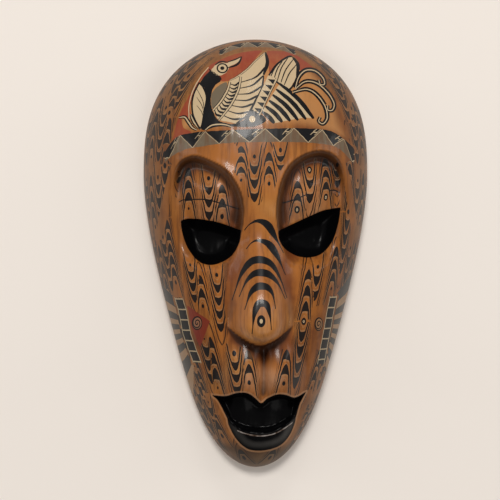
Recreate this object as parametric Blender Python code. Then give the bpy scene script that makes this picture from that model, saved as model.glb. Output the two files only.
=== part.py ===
"""Carved wooden face mask, lying on its back: one block of wood with a hollowed back, in metres.

+Y runs from the chin to the crown, +Z from the flat back rim to the face, and +X to the viewer's
right. The origin is on the rim's plane, below the middle of the mask. The carving is laid out in
shares of the mask: a hundredth of its height along Y, and the same share of its width along X.
"""

import math

import bmesh
import bpy
import numpy as np

# Driving dimensions
HEIGHT = 0.300
WIDTH = 0.157
FOREHEAD_DEPTH = 0.066
BROW_STEP = 0.0095
LID_SWELL = 0.0056
EYE_DEPTH = 0.010
CHEEK_SWELL = 0.0024
NOSE_RISE = 0.026
UPPER_LIP_SWELL = 0.0085
PHILTRUM_DEPTH = 0.0036
MOUTH_DEPTH = 0.012
LOWER_LIP_SWELL = 0.0046
RIM_WIDTH = 0.011
EDGE_LAND = 0.0025
EYE_WALL = 0.008

# Layout of the outline, in carving shares
SHARES_HIGH = 100.0
CROWN = SHARES_HIGH / 2
CHIN = -SHARES_HIGH / 2
TEMPLE = 18.2
HALF_WIDTH = 26.17
BROW_SLOPE_SHARES = 1.35
BRIDGE_SHARE = 0.03
EYE_LEVEL_SHARE = 0.86

# Fineness of the solids
FACE_CELLS = (170, 330)
HOLLOW_CELLS = (20, 34)
FACE_TRIANGLES = 7400
SPARE = 0.004
RING_CROWDING_SHARE = 0.4

# Carved lines, each a smooth curve through a few points in carving shares
LEFT_BROW = [(-23.5, -3), (-22.5, 5), (-21.2, 12), (-20.2, 16.8), (-19, 19.9), (-17, 21.7), (-14.4, 22.2),
             (-11, 21), (-7.6, 18.9), (-4.9, 15.2), (-3.7, 11), (-3.8, 6.5), (-5, 1), (-6, -5), (-7, -12)]
RIGHT_BROW = [(23.5, -3), (22.5, 5), (21.2, 12), (20.2, 17.2), (18.6, 21), (16.2, 23), (13, 23.4),
              (9.6, 22.4), (6.4, 20), (4.4, 16), (3.5, 11), (3.7, 6.5), (4.8, 1), (5.8, -5), (6.9, -12)]
LEFT_EYE_TOP = [(-17.8, 7.4), (-15.9, 7.9), (-12.3, 7.6), (-8.6, 6.8), (-4.3, 5.2)]
LEFT_EYE_LOW = [(-4.3, 5.2), (-4.7, 2.5), (-6.4, -0.5), (-9.1, -2.2), (-11.6, -2.6), (-14, -1.6),
                (-16.2, 1.3), (-17.4, 4.5), (-17.8, 7.4)]
RIGHT_EYE_TOP = [(4.1, 5), (7.7, 6.7), (11.4, 8.4), (14.8, 9.8), (18.7, 10.5)]
RIGHT_EYE_LOW = [(18.7, 10.5), (18.1, 6.4), (16.8, 2.6), (14.5, 0), (11.7, -0.9), (8.7, -0.6),
                 (5.7, 1.1), (4.3, 3.2), (4.1, 5)]
MOUTH_TOP = [(-10.6, -32.5), (-7.6, -32.6), (-5.3, -31.8), (-2.9, -31.7), (-1, -32.9), (0.5, -34.2),
             (2, -33), (4.2, -32.1), (6.2, -32.3), (8.4, -33), (11.1, -31.8)]
MOUTH_LOW = [(11.1, -31.8), (9.6, -34.6), (8.6, -38.2), (7.2, -41.6), (4.8, -43.8), (0.8, -44.7),
             (-2.6, -44.1), (-5.3, -41.4), (-7.3, -37.4), (-9.1, -34), (-10.6, -32.5)]
LIP_CREST = [(-7, -38.6), (-3.9, -40.4), (0.2, -41.2), (4, -40.6), (8.6, -38)]

WOOD_COLOUR = (0.46, 0.25, 0.10, 1.0)
WOOD_ROUGHNESS = 0.38


def ease(t):
    """A smooth step: 0 below t = 0, 1 above t = 1."""
    t = np.clip(t, 0.0, 1.0)
    return t * t * (3 - 2 * t)


def bump(x, y, centre, radii):
    """A round swelling: 1 at its centre, 0 from its elliptical edge outwards."""
    e = ((x - centre[0]) / radii[0]) ** 2 + ((y - centre[1]) / radii[1]) ** 2
    return np.clip(1 - e, 0, 1) ** 2


def through(points, steps=8):
    """A smooth curve through the points, each span a Catmull-Rom cubic."""
    p = np.array(points, float)
    p = np.vstack([2 * p[0] - p[1], p, 2 * p[-1] - p[-2]])
    t = np.linspace(0, 1, steps, endpoint=False)[:, None]
    spans = []
    for a, b, c, d in zip(p[:-3], p[1:-2], p[2:-1], p[3:]):
        spans.append(0.5 * (2 * b + (c - a) * t + (2 * a - 5 * b + 4 * c - d) * t**2
                            + (3 * b - a - 3 * c + d) * t**3))
    return np.vstack(spans + [p[-2:-1]])


def depth_inside(x, y, line):
    """Distance to a closed line, positive inside it and negative outside."""
    nearest = np.full(x.shape, np.inf)
    crossings = np.zeros(x.shape, int)
    for (ax, ay), (bx, by) in zip(line, np.roll(line, -1, axis=0)):
        dx, dy = bx - ax, by - ay
        t = np.clip(((x - ax) * dx + (y - ay) * dy) / (dx * dx + dy * dy + 1e-12), 0, 1)
        nearest = np.minimum(nearest, np.hypot(x - ax - t * dx, y - ay - t * dy))
        level = np.where(np.abs(dy) < 1e-12, 1e-12, dy)
        crossings += ((ay > y) != (by > y)) & (x < ax + (y - ay) / level * dx)
    return np.where(crossings % 2 == 1, nearest, -nearest)


def height_of(x, line):
    """The y of a line that runs from side to side, at x."""
    order = np.argsort(line[:, 0])
    return np.interp(x, line[order, 0], line[order, 1])


def half_width(y):
    """Half the outline's width: a blunt curve above the temples, a long egg down to the chin."""
    up = np.clip((y - TEMPLE) / (CROWN - TEMPLE), 0, 1)
    down = np.clip((TEMPLE - y) / (TEMPLE - CHIN), 0, 1)
    crown = (1 - up**2.75) ** (1 / 1.95)
    jaw = (1 - down**1.65) ** 0.505 - 0.066 * np.clip(np.sin(math.pi * down**1.14), 0, 1) ** 1.5
    return HALF_WIDTH * np.where(y > TEMPLE, crown, jaw)


def on_the_outline(u, v):
    """Carries a square of side 2 onto the mask's outline, and gives each point's share of the way out.

    The square becomes a disc, the disc's rings are crowded towards its edge, where the sides stand
    upright, and each row of the disc is then stretched to the outline's width at its height.
    """
    across = u * np.sqrt(1 - v * v / 2)
    along = v * np.sqrt(1 - u * u / 2)
    ring = np.clip(np.hypot(across, along), 0, 1)
    crowding = 1 + RING_CROWDING_SHARE * (1 - ring**2)
    share = ring * crowding
    along = np.clip(along * crowding, -1 + 1e-6, 1 - 1e-6)
    y = CROWN * along
    return half_width(y) * across * crowding / np.sqrt(1 - along**2), y, share


def dome(share, y):
    """The plain block's cross-section: flat on top and upright at the rim, blunter towards the crown."""
    upward = np.clip(y / CROWN / np.clip(share, 1e-6, 1), 0, 1)
    return np.sqrt(np.clip(1 - share ** (2.5 + upward**2), 0, 1))


def socket(x, y, brow, side):
    """How far the wood under one brow is cut back: a step at the brow, fading over cheek and temple."""
    corner = (side * 26.0, -12.0)
    inside = depth_inside(x, y, np.vstack([through(brow), [(brow[-1][0], corner[1]), corner]]))
    step = 1 - np.exp(-((np.clip(inside, 0, None) / BROW_SLOPE_SHARES) ** 2))
    spread = np.hypot((x - side * 11.0) / 10.8, (y - 11.5) / 14.5)
    temple = (side * x - 14.0 - 3.5 * ease((y - 4) / 16)) / 6
    return step * (1 - ease((spread - 0.8) / 0.28)) * (1 - ease(temple))


def eye_pit(x, y, top, low):
    """A half-moon bowl: its wall is steep under the lid, and its floor rises to the lower edge."""
    upper = through(top)
    inside = depth_inside(x, y, np.vstack([upper, through(low)[1:-1]]))
    under_lid = height_of(x, upper) - y
    bank = 1 - (1 - np.clip(inside / 3.2, 0, 1)) ** 2
    return bank * (0.6 + 0.4 * ease(1 - (under_lid - 1) / 9))


def nose(x, y):
    """The nose's height: a ridge that widens and rises from the bridge to a round tip, cut off below.

    Its cross-section is a bell, whose sides steepen from the bridge down to the nostrils.
    """
    down = np.clip((12 - y) / 28, 0, 1)
    rise = BRIDGE_SHARE + (1 - BRIDGE_SHARE) * np.sin(math.pi / 2 * down**1.7)
    half = 2.9 + 2.5 * ease((10 - y) / 28)
    section = np.exp(-math.log(2) * np.abs(x / half) ** (2.2 + 2.2 * ease((-4 - y) / 14)))
    low_edge = -21.4 + 3.4 * np.clip(np.abs(x) / 6.4, 0, 1.3) ** 1.6
    tip = np.sqrt(1 - (1 - np.clip((y - low_edge) / 4.2, 0, 1)) ** 2)
    return rise * section * ease((14 - y) / 8) * tip * ease((y - low_edge) / 1.1)


def mouth_cut(x, y):
    """The mouth's depth and the lower lip's swelling: a slope that deepens from the lip to the upper lip."""
    upper = through(MOUTH_TOP)
    crest = through(LIP_CREST)
    whole = depth_inside(x, y, np.vstack([upper, through(MOUTH_LOW)[1:-1]]))
    above_lip = y - height_of(x, crest)
    rise = above_lip / (height_of(x, upper) - height_of(x, crest))
    pit = (0.3 + 0.7 * np.clip(rise, 0, 1)) * ease(np.clip(whole, 0, None) / 1.2) * ease(above_lip / 1.4)
    lip = ease((whole + 0.4) / 2.2) * (1 - ease((above_lip + 0.3) / 1.6))
    lip *= ease((3.5 - above_lip) / 3.5) * ease((9.8 - np.abs(x - 0.6)) / 3)
    return pit, lip


def face_height(x, y, share):
    """Height of the carved face over the rim's plane, in metres."""
    brow_drop = 0.125 * ease((14 - y) / 12) + 0.02 * ease((-y - 10) / 20)
    lids = bump(x, y, (-10.8, 13.8), (8, 8)) + bump(x, y, (11, 15), (8, 8))
    cheeks = bump(x, y, (-13.5, -9), (9, 11)) + bump(x, y, (13.5, -8), (9, 11))
    lobes = bump(x, y, (-3.6, -27.5), (6.4, 9)) + bump(x, y, (5.2, -27.5), (6.2, 9))
    groove = np.exp(-(((x - 1) / 0.9) ** 2)) * ease((-20.5 - y) / 2) * ease((y + 34) / 3)
    pit, lip = mouth_cut(x, y)
    carving = (
        NOSE_RISE * nose(x, y)
        - BROW_STEP * (socket(x, y, LEFT_BROW, -1) + socket(x, y, RIGHT_BROW, 1))
        + LID_SWELL * lids
        - EYE_DEPTH * (eye_pit(x, y, LEFT_EYE_TOP, LEFT_EYE_LOW) + eye_pit(x, y, RIGHT_EYE_TOP, RIGHT_EYE_LOW))
        + CHEEK_SWELL * cheeks
        + UPPER_LIP_SWELL * lobes
        - PHILTRUM_DEPTH * groove
        - MOUTH_DEPTH * pit
        + LOWER_LIP_SWELL * lip
    )
    rise = (FOREHEAD_DEPTH - EDGE_LAND) * (1 - brow_drop) * dome(share, y)
    return EDGE_LAND + rise + carving * (1 - share**12)


def closed_form(name, collection, cells, width, height, height_at):
    """A square grid laid on the outline, raised by height_at, with a skirt down past the rim's plane."""
    mesh = bpy.data.meshes.new(name)
    form = bmesh.new()
    bmesh.ops.create_grid(form, x_segments=cells[0], y_segments=cells[1], size=1)
    flat = np.array([vertex.co[:2] for vertex in form.verts], float)
    x, y, share = on_the_outline(flat[:, 0], flat[:, 1])
    z = height_at(x, y, share)
    places = np.column_stack([x / HALF_WIDTH * width / 2, y / SHARES_HIGH * height, z])
    for vertex, place in zip(form.verts, places):
        vertex.co = place
    edge = [e for e in form.edges if e.is_boundary]
    skirt = bmesh.ops.extrude_edge_only(form, edges=edge)["geom"]
    for item in skirt:
        if isinstance(item, bmesh.types.BMVert):
            item.co.z = -SPARE
    bmesh.ops.contextual_create(form, geom=[e for e in form.edges if e.is_boundary])
    bmesh.ops.recalc_face_normals(form, faces=form.faces)
    form.to_mesh(mesh)
    form.free()
    mesh.shade_smooth()
    piece = bpy.data.objects.new(name, mesh)
    collection.objects.link(piece)
    return piece


def material(name, colour, roughness):
    """A plain dielectric finish."""
    finish = bpy.data.materials.new(name)
    finish.use_nodes = True
    shader = finish.node_tree.nodes["Principled BSDF"]
    shader.inputs["Base Color"].default_value = colour
    shader.inputs["Roughness"].default_value = roughness
    shader.inputs["Metallic"].default_value = 0.0
    return finish


def as_cutter(piece):
    piece.hide_render = True
    piece.display_type = "WIRE"


def cut(piece, cutter):
    """Takes the cutter's shape out of the piece."""
    modifier = piece.modifiers.new("cut_by_" + cutter.name, "BOOLEAN")
    modifier.operation = "DIFFERENCE"
    modifier.solver = "EXACT"
    modifier.object = cutter


def bench_plane(collection):
    """A block below the rim's plane, which leaves the rim flat."""
    mesh = bpy.data.meshes.new("bench_plane")
    form = bmesh.new()
    bmesh.ops.create_cube(form, size=1)
    for vertex in form.verts:
        vertex.co.x *= WIDTH * 1.5
        vertex.co.y *= HEIGHT * 1.5
        vertex.co.z = (vertex.co.z - 0.5) * SPARE * 3
    form.to_mesh(mesh)
    form.free()
    block = bpy.data.objects.new("bench_plane", mesh)
    collection.objects.link(block)
    return block


def hollow_height(x, y, share):
    """The hollow behind the face: a smooth dome that leaves the eye wall behind the eyes' pits."""
    depth = FOREHEAD_DEPTH * EYE_LEVEL_SHARE - BROW_STEP - EYE_DEPTH - EYE_WALL
    return EDGE_LAND + (depth - EDGE_LAND) * dome(share, y)


def build():
    for old in list(bpy.data.objects):
        bpy.data.objects.remove(old, do_unlink=True)
    parts = bpy.data.collections.new("wooden_mask")
    cutters = bpy.data.collections.new("cutters")
    for collection in (parts, cutters):
        bpy.context.scene.collection.children.link(collection)

    mask = closed_form("mask", parts, FACE_CELLS, WIDTH, HEIGHT, face_height)
    mask.data.materials.append(material("varnished_wood", WOOD_COLOUR, WOOD_ROUGHNESS))
    fewer = mask.modifiers.new("fewer_faces", "DECIMATE")
    fewer.ratio = FACE_TRIANGLES / (2 * FACE_CELLS[0] * FACE_CELLS[1])

    hollow = closed_form("hollow", cutters, HOLLOW_CELLS, WIDTH - 2 * RIM_WIDTH, HEIGHT - 2 * RIM_WIDTH,
                         hollow_height)
    for cutter in (bench_plane(cutters), hollow):
        as_cutter(cutter)
        cut(mask, cutter)


build()
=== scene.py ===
"""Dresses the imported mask: its carved surface in fine detail, its painted pattern, varnish and lacquer.

Everything is in metres. The carving and the painting are laid out in shares of the mask, as a carver
lays them out on the block: a hundredth of its height up and down, the same share of its width across.
"""

import math

import bpy
import numpy as np
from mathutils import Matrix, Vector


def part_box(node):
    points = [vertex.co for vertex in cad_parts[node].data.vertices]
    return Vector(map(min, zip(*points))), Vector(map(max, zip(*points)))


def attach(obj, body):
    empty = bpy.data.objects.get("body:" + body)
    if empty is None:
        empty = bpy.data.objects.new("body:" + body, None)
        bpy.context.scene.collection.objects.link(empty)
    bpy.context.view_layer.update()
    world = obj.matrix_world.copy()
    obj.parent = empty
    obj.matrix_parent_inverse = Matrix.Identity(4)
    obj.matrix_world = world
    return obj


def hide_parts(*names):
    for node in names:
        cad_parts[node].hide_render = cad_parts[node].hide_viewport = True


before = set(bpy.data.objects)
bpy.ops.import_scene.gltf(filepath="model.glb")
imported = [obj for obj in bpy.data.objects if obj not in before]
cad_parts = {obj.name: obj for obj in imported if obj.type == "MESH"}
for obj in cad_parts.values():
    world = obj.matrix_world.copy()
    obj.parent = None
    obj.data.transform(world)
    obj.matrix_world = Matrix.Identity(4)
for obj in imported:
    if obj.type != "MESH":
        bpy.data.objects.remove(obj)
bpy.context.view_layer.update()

# The carved block
# One block of light hardwood, carved in front and hollowed behind, lying on its flat back rim.
# The surface is the solid's own, with the knife's facets, the cut lines of the lids and softened edges.

MASK_LOW, MASK_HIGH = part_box("mask")
HEIGHT = MASK_HIGH.y - MASK_LOW.y
WIDTH = MASK_HIGH.x - MASK_LOW.x
MM = 0.001
FOREHEAD_DEPTH = 66 * MM
BROW_STEP = 9.5 * MM
BROW_SLOPE = 1.35
LID_SWELL = 5.6 * MM
EYE_DEPTH = 10 * MM
CHEEK_SWELL = 2.4 * MM
NOSE_RISE = 26 * MM
UPPER_LIP_SWELL = 8.5 * MM
PHILTRUM_DEPTH = 3.6 * MM
MOUTH_DEPTH = 12 * MM
LOWER_LIP_SWELL = 4.6 * MM
RIM_WIDTH = 11 * MM
EDGE_LAND = 2.5 * MM
EDGE_WEAR = 0.7 * MM
HOLLOW_DEPTH = 29.26 * MM
TOOL_MARK = 0.09 * MM
LID_LINE_DEPTH = 0.5 * MM
LID_LINE_WIDTH = 0.16
SHARP_EDGE = math.radians(50)

CROWN = 50.0
CHIN = -50.0
TEMPLE = 18.2
HALF_WIDTH = 26.17
RING_CROWDING = 0.4
SHARE = HEIGHT / (CROWN - CHIN)

CELLS_ACROSS = 216
CELLS_ALONG = 300
HOLLOW_RINGS = 14

LEFT_BROW = [(-23.5, -3), (-22.5, 5), (-21.2, 12), (-20.2, 16.8), (-19, 19.9), (-17, 21.7), (-14.4, 22.2),
             (-11, 21), (-7.6, 18.9), (-4.9, 15.2), (-3.7, 11), (-3.8, 6.5), (-5, 1), (-6, -5), (-7, -12)]
RIGHT_BROW = [(23.5, -3), (22.5, 5), (21.2, 12), (20.2, 17.2), (18.6, 21), (16.2, 23), (13, 23.4),
              (9.6, 22.4), (6.4, 20), (4.4, 16), (3.5, 11), (3.7, 6.5), (4.8, 1), (5.8, -5), (6.9, -12)]
LEFT_EYE_TOP = [(-17.8, 7.4), (-15.9, 7.9), (-12.3, 7.6), (-8.6, 6.8), (-4.3, 5.2)]
LEFT_EYE_LOW = [(-4.3, 5.2), (-4.7, 2.5), (-6.4, -0.5), (-9.1, -2.2), (-11.6, -2.6), (-14, -1.6),
                (-16.2, 1.3), (-17.4, 4.5), (-17.8, 7.4)]
RIGHT_EYE_TOP = [(4.1, 5), (7.7, 6.7), (11.4, 8.4), (14.8, 9.8), (18.7, 10.5)]
RIGHT_EYE_LOW = [(18.7, 10.5), (18.1, 6.4), (16.8, 2.6), (14.5, 0), (11.7, -0.9), (8.7, -0.6),
                 (5.7, 1.1), (4.3, 3.2), (4.1, 5)]
EYES = [(LEFT_EYE_TOP, LEFT_EYE_LOW), (RIGHT_EYE_TOP, RIGHT_EYE_LOW)]
MOUTH_TOP = [(-10.6, -32.5), (-7.6, -32.6), (-5.3, -31.8), (-2.9, -31.7), (-1, -32.9), (0.5, -34.2),
             (2, -33), (4.2, -32.1), (6.2, -32.3), (8.4, -33), (11.1, -31.8)]
MOUTH_LOW = [(11.1, -31.8), (9.6, -34.6), (8.6, -38.2), (7.2, -41.6), (4.8, -43.8), (0.8, -44.7),
             (-2.6, -44.1), (-5.3, -41.4), (-7.3, -37.4), (-9.1, -34), (-10.6, -32.5)]
LIP_CREST = [(-7, -38.6), (-3.9, -40.4), (0.2, -41.2), (4, -40.6), (8.6, -38)]
LID_LINES = [
    [(-18.2, 11.7), (-16.9, 12.2), (-12.6, 12.2), (-10.6, 11.8), (-6.9, 10.7), (-4.7, 10)],
    [(5.1, 11.4), (6.7, 11.8), (8.9, 12.6), (10.6, 13.3)],
    [(16.2, 14.3), (17.3, 14.4), (18.4, 13.9)],
]


def ease(t):
    """A smooth step: 0 below t = 0, 1 above t = 1, and 3t^2 - 2t^3 between."""
    t = np.clip(t, 0.0, 1.0)
    return t * t * (3 - 2 * t)


def bump(x, y, centre, radii):
    """A round swelling: the square of 1 minus the elliptical distance squared, and 0 past its edge."""
    e = ((x - centre[0]) / radii[0]) ** 2 + ((y - centre[1]) / radii[1]) ** 2
    return np.clip(1 - e, 0, 1) ** 2


def through(points, steps=8):
    """A smooth curve through the points, each span a Catmull-Rom cubic."""
    p = np.array(points, float)
    p = np.vstack([2 * p[0] - p[1], p, 2 * p[-1] - p[-2]])
    t = np.linspace(0, 1, steps, endpoint=False)[:, None]
    spans = []
    for a, b, c, d in zip(p[:-3], p[1:-2], p[2:-1], p[3:]):
        spans.append(0.5 * (2 * b + (c - a) * t + (2 * a - 5 * b + 4 * c - d) * t**2
                            + (3 * b - a - 3 * c + d) * t**3))
    return np.vstack(spans + [p[-2:-1]])


def depth_inside(x, y, line):
    """Distance to a closed line, positive inside it and negative outside, from the nearest of its edges."""
    nearest = np.full(x.shape, np.inf)
    crossings = np.zeros(x.shape, int)
    for (ax, ay), (bx, by) in zip(line, np.roll(line, -1, axis=0)):
        dx, dy = bx - ax, by - ay
        t = np.clip(((x - ax) * dx + (y - ay) * dy) / (dx * dx + dy * dy + 1e-12), 0, 1)
        nearest = np.minimum(nearest, np.hypot(x - ax - t * dx, y - ay - t * dy))
        level = np.where(np.abs(dy) < 1e-12, 1e-12, dy)
        crossings += ((ay > y) != (by > y)) & (x < ax + (y - ay) / level * dx)
    return np.where(crossings % 2 == 1, nearest, -nearest)


def height_of(x, line):
    """The y of a line that runs from side to side, at x."""
    order = np.argsort(line[:, 0])
    return np.interp(x, line[order, 0], line[order, 1])


def half_width(y):
    """Half the outline's width: a blunt curve above the temples, a long egg down to the chin."""
    up = np.clip((y - TEMPLE) / (CROWN - TEMPLE), 0, 1)
    down = np.clip((TEMPLE - y) / (TEMPLE - CHIN), 0, 1)
    crown = (1 - up**2.75) ** (1 / 1.95)
    jaw = (1 - down**1.65) ** 0.505 - 0.066 * np.clip(np.sin(math.pi * down**1.14), 0, 1) ** 1.5
    return HALF_WIDTH * np.where(y > TEMPLE, crown, jaw)


def from_disc(across, along):
    """Stretches each row of a unit disc to the outline's width at its height."""
    along = np.clip(along, -1 + 1e-6, 1 - 1e-6)
    y = CROWN * along
    return half_width(y) * across / np.sqrt(1 - along**2), y


def share_out(x, y):
    """How far out a point is: 0 in the middle and 1 on the outline, the inverse of from_disc."""
    along = np.clip(y / CROWN, -1 + 1e-6, 1 - 1e-6)
    return np.clip(np.hypot(x / half_width(CROWN * along) * np.sqrt(1 - along**2), along), 0, 1)


def dome(share, y):
    """The plain block's section: the root of 1 minus the share to a power that grows towards the crown."""
    upward = np.clip(y / CROWN / np.clip(share, 1e-6, 1), 0, 1)
    return np.sqrt(np.clip(1 - share ** (2.5 + upward**2), 0, 1))


def socket(x, y, brow, side):
    """How far the wood under one brow is cut back: a sharp step, fading over cheek and temple."""
    corner = (side * 26.0, -12.0)
    inside = depth_inside(x, y, np.vstack([through(brow), [(brow[-1][0], corner[1]), corner]]))
    step = 1 - np.exp(-((np.clip(inside, 0, None) / BROW_SLOPE) ** 2))
    spread = np.hypot((x - side * 11.0) / 10.8, (y - 11.5) / 14.5)
    temple = (side * x - 14.0 - 3.5 * ease((y - 4) / 16)) / 6
    return step * (1 - ease((spread - 0.8) / 0.28)) * (1 - ease(temple))


def opening(top, low):
    """The whole edge of an eye or the mouth: its upper line, then its lower line back."""
    return np.vstack([through(top), through(low)[1:-1]])


def eye_pit(x, y, top, low):
    """A half-moon bowl: its bank is a parabola, and its floor rises from the lid to the lower edge."""
    inside = depth_inside(x, y, opening(top, low))
    under_lid = height_of(x, through(top)) - y
    bank = 1 - (1 - np.clip(inside / 3.2, 0, 1)) ** 2
    return bank * (0.6 + 0.4 * ease(1 - (under_lid - 1) / 9))


def nose(x, y):
    """The nose's height: a ridge that widens and rises from the bridge to a round tip, cut off below.

    Its cross-section is a bell, whose sides steepen from the bridge down to the nostrils.
    """
    down = np.clip((12 - y) / 28, 0, 1)
    rise = 0.03 + 0.97 * np.sin(math.pi / 2 * down**1.7)
    half = 2.9 + 2.5 * ease((10 - y) / 28)
    section = np.exp(-math.log(2) * np.abs(x / half) ** (2.2 + 2.2 * ease((-4 - y) / 14)))
    low_edge = -21.4 + 3.4 * np.clip(np.abs(x) / 6.4, 0, 1.3) ** 1.6
    tip = np.sqrt(1 - (1 - np.clip((y - low_edge) / 4.2, 0, 1)) ** 2)
    return rise * section * ease((14 - y) / 8) * tip * ease((y - low_edge) / 1.1)


def mouth_cut(x, y):
    """The mouth's depth and the lower lip's swelling: a slope that deepens from the lip to the upper lip."""
    upper = through(MOUTH_TOP)
    crest = through(LIP_CREST)
    whole = depth_inside(x, y, opening(MOUTH_TOP, MOUTH_LOW))
    above_lip = y - height_of(x, crest)
    rise = above_lip / (height_of(x, upper) - height_of(x, crest))
    pit = (0.3 + 0.7 * np.clip(rise, 0, 1)) * ease(np.clip(whole, 0, None) / 1.2) * ease(above_lip / 1.4)
    lip = ease((whole + 0.4) / 2.2) * (1 - ease((above_lip + 0.3) / 1.6))
    lip *= ease((3.5 - above_lip) / 3.5) * ease((9.8 - np.abs(x - 0.6)) / 3)
    return pit, lip


def face_height(x, y, share):
    """Height of the carved face over the rim's plane, in metres: the block's dome plus each carved form."""
    brow_drop = 0.125 * ease((14 - y) / 12) + 0.02 * ease((-y - 10) / 20)
    lids = bump(x, y, (-10.8, 13.8), (8, 8)) + bump(x, y, (11, 15), (8, 8))
    cheeks = bump(x, y, (-13.5, -9), (9, 11)) + bump(x, y, (13.5, -8), (9, 11))
    lobes = bump(x, y, (-3.6, -27.5), (6.4, 9)) + bump(x, y, (5.2, -27.5), (6.2, 9))
    groove = np.exp(-(((x - 1) / 0.9) ** 2)) * ease((-20.5 - y) / 2) * ease((y + 34) / 3)
    pit, lip = mouth_cut(x, y)
    carving = (
        NOSE_RISE * nose(x, y)
        - BROW_STEP * (socket(x, y, LEFT_BROW, -1) + socket(x, y, RIGHT_BROW, 1))
        + LID_SWELL * lids
        - EYE_DEPTH * sum(eye_pit(x, y, *eye) for eye in EYES)
        + CHEEK_SWELL * cheeks
        + UPPER_LIP_SWELL * lobes
        - PHILTRUM_DEPTH * groove
        - MOUTH_DEPTH * pit
        + LOWER_LIP_SWELL * lip
    )
    rise = (FOREHEAD_DEPTH - EDGE_LAND) * (1 - brow_drop) * dome(share, y)
    return EDGE_LAND + rise + carving * (1 - share**12)


def ripple(x, y, wavelength, seed, waves=14):
    """Smooth seeded unevenness between about -1 and 1: a sum of sine waves in all directions."""
    draw = np.random.default_rng(seed)
    total = np.zeros(x.shape)
    for turn, phase, stretch in draw.random((waves, 3)):
        angle = turn * 2 * math.pi
        number = 2 * math.pi / (wavelength * (0.7 + 0.8 * stretch))
        total += np.sin(number * (x * math.cos(angle) + y * math.sin(angle)) + phase * 2 * math.pi)
    return total / math.sqrt(waves)


def beside(x, y, points):
    """Position beside an open line: signed distance to it, and how far the point is from its nearer end.

    The line is lengthened straight at both ends, and the second value turns negative past the true ends.
    """
    line = through(points)
    ahead = line[-1] - line[-2]
    behind = line[0] - line[1]
    extra = 6.0
    line = np.vstack([line[0] + behind / np.hypot(*behind) * extra, line,
                      line[-1] + ahead / np.hypot(*ahead) * extra])
    nearest = np.full(x.shape, np.inf)
    signed = np.zeros(x.shape)
    travel = np.zeros(x.shape)
    start = 0.0
    for (ax, ay), (bx, by) in zip(line[:-1], line[1:]):
        dx, dy = bx - ax, by - ay
        length = math.hypot(dx, dy)
        t = np.clip(((x - ax) * dx + (y - ay) * dy) / (length * length + 1e-12), 0, 1)
        away = np.hypot(x - ax - t * dx, y - ay - t * dy)
        closer = away < nearest
        side = np.sign(dx * (y - ay) - dy * (x - ax))
        nearest = np.where(closer, away, nearest)
        signed = np.where(closer, side * away, signed)
        travel = np.where(closer, start + t * length, travel)
        start += length
    return signed, np.minimum(travel - extra, start - extra - travel)


def fine_relief(x, y, share):
    """What the carver's tools leave: shallow facets, and the lines cut across the lids."""
    facets = np.abs(ripple(x * 1.6, y, 7.0, 3)) + 0.5 * ripple(x * 2.4, y, 3.2, 4)
    relief = TOOL_MARK * facets
    for points in LID_LINES:
        off, end = beside(x, y, points)
        relief = relief - LID_LINE_DEPTH * np.exp(-((off / LID_LINE_WIDTH) ** 2)) * ease(end / 1.0 + 0.5)
    return relief * (1 - share**16)


def placed(x, y, z):
    """Carving shares to metres."""
    return np.stack([x / HALF_WIDTH * WIDTH / 2, y * SHARE, z], axis=-1)


def face_grid():
    """A square grid carried onto the outline, its rings crowded towards the upright sides."""
    steps = [np.linspace(-1, 1, cells + 1) for cells in (CELLS_ACROSS, CELLS_ALONG)]
    u, v = np.meshgrid(*steps, indexing="ij")
    across = u * np.sqrt(1 - v * v / 2)
    along = v * np.sqrt(1 - u * u / 2)
    ring = np.clip(np.hypot(across, along), 0, 1)
    crowding = 1 + RING_CROWDING * (1 - ring**2)
    x, y = from_disc(across * crowding, along * crowding)
    return x.ravel(), y.ravel(), (ring * crowding).ravel(), across.ravel(), along.ravel()


def grid_faces():
    """The grid's quads, each wound so that it faces out of the face."""
    number = np.arange((CELLS_ACROSS + 1) * (CELLS_ALONG + 1)).reshape(CELLS_ACROSS + 1, CELLS_ALONG + 1)
    corners = [number[:-1, :-1], number[1:, :-1], number[1:, 1:], number[:-1, 1:]]
    border = np.concatenate([number[:-1, 0], number[-1, :-1], number[:0:-1, -1], number[0, :0:-1]])
    return np.stack(corners, axis=-1).reshape(-1, 4), border


def back_rings(across, along):
    """The rings behind the face's edge: a worn corner, the flat rim, and the hollow's dome to one point."""
    inner = ((WIDTH - 2 * RIM_WIDTH) / WIDTH, (HEIGHT - 2 * RIM_WIDTH) / HEIGHT)
    x, y = from_disc(across, along)
    edge = placed(x, y, np.zeros(x.shape))
    worn = (1 - 2 * EDGE_WEAR / WIDTH, 1 - 2 * EDGE_WEAR / HEIGHT, 1)
    rings = [edge + [0, 0, EDGE_WEAR], edge * worn]
    for scale in (1 + 2 * EDGE_WEAR / WIDTH, 1.0):
        rings.append(edge * (inner[0] * scale, inner[1] * scale, 1) + [0, 0, 0 if scale > 1 else EDGE_WEAR])
    for out in np.cos(np.linspace(0, 1, HOLLOW_RINGS, endpoint=False) * math.pi / 2):
        x, y = from_disc(across * out, along * out)
        z = EDGE_LAND + (HOLLOW_DEPTH - EDGE_LAND) * dome(np.full(x.shape, out), y)
        rings.append(placed(x * inner[0], y * inner[1], z))
    return rings


def added(name, data, place=(0, 0, 0), turn=(0, 0, 0)):
    """A new object in the scene, at its place and turned."""
    thing = bpy.data.objects.new(name, data)
    thing.location = place
    thing.rotation_euler = turn
    bpy.context.scene.collection.objects.link(thing)
    return thing


grid_x, grid_y, grid_share, disc_x, disc_y = face_grid()
quads, border = grid_faces()
surface = face_height(grid_x, grid_y, grid_share) + fine_relief(grid_x, grid_y, grid_share)
rings = back_rings(disc_x[border], disc_y[border])
deepest = placed(np.zeros(1), np.zeros(1), np.full(1, HOLLOW_DEPTH))
points = np.vstack([placed(grid_x, grid_y, surface), *rings, deepest])

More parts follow.
